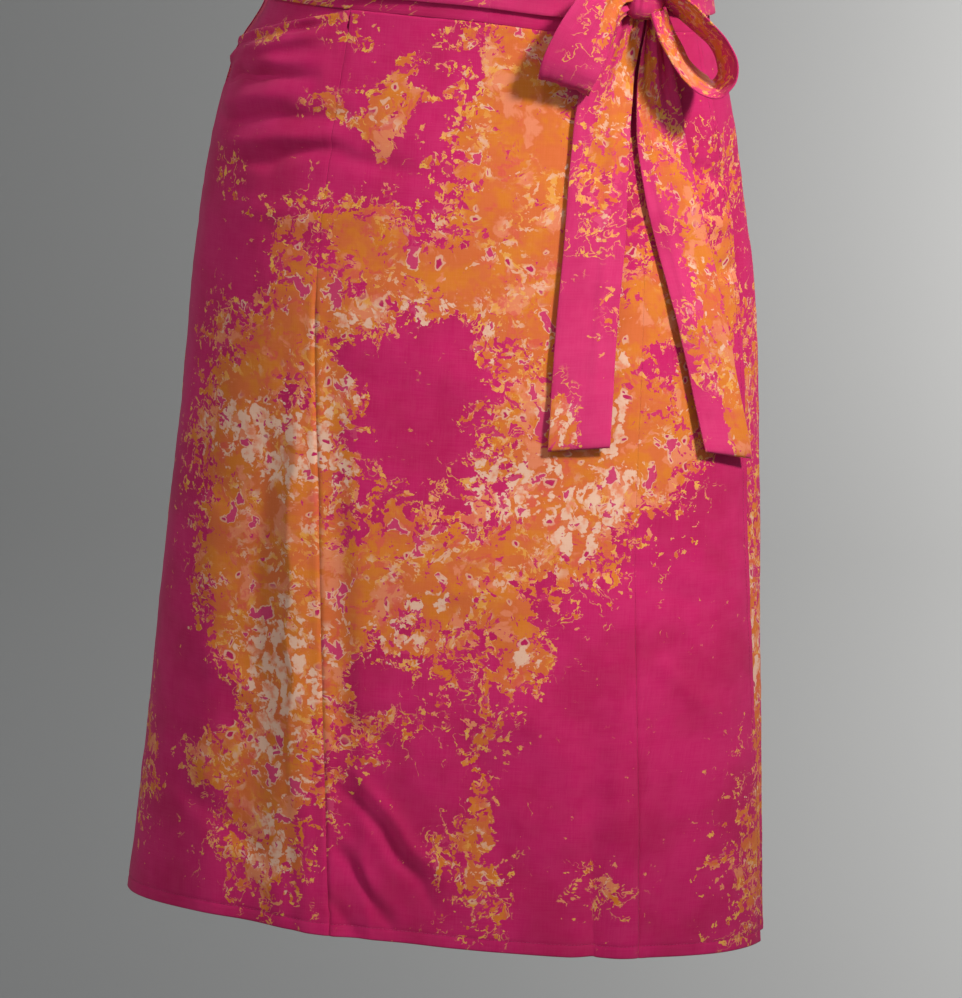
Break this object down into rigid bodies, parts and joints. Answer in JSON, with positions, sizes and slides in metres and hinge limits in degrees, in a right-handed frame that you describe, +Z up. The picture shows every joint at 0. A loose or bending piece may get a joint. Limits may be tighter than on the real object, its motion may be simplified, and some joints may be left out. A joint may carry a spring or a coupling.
{
  "type": "wrap skirt",
  "caption": "Knee-length A-line wrap skirt in printed cotton, in its worn shape, with a narrow waistband, a slanted hip pocket and a self tie in a bow.",
  "frame": {"origin": "The middle of the waist, at mid-height of the waistband.", "axes": "+X is the wearer's left, +Y is the wearer's back, +Z is up, towards the wearer's head. The front is -Y."},
  "size_m": [0.46, 0.3092, 0.7005],
  "materials": {
    "printed_cotton": "woven cotton, matt",
    "printed_cotton_under": "woven cotton, matt",
    "waistband_cotton": "woven cotton, topstitched",
    "tie_cotton": "woven cotton, doubled, pressed edges"
  },
  "bodies": {
    "root": {"front_gore_right": "printed_cotton", "front_gore_centre": "printed_cotton", "front_gore_left": "printed_cotton", "back_panel": "printed_cotton", "under_front": "printed_cotton_under", "pocket_facing_right": "printed_cotton_under", "waistband": "waistband_cotton", "tie_wrap": "tie_cotton", "tie_knot": "tie_cotton", "bow_loop_broad": "tie_cotton", "bow_loop_edgewise": "tie_cotton", "tie_tail_inner": "tie_cotton", "tie_tail_outer": "tie_cotton"}
  },
  "joints": []
}
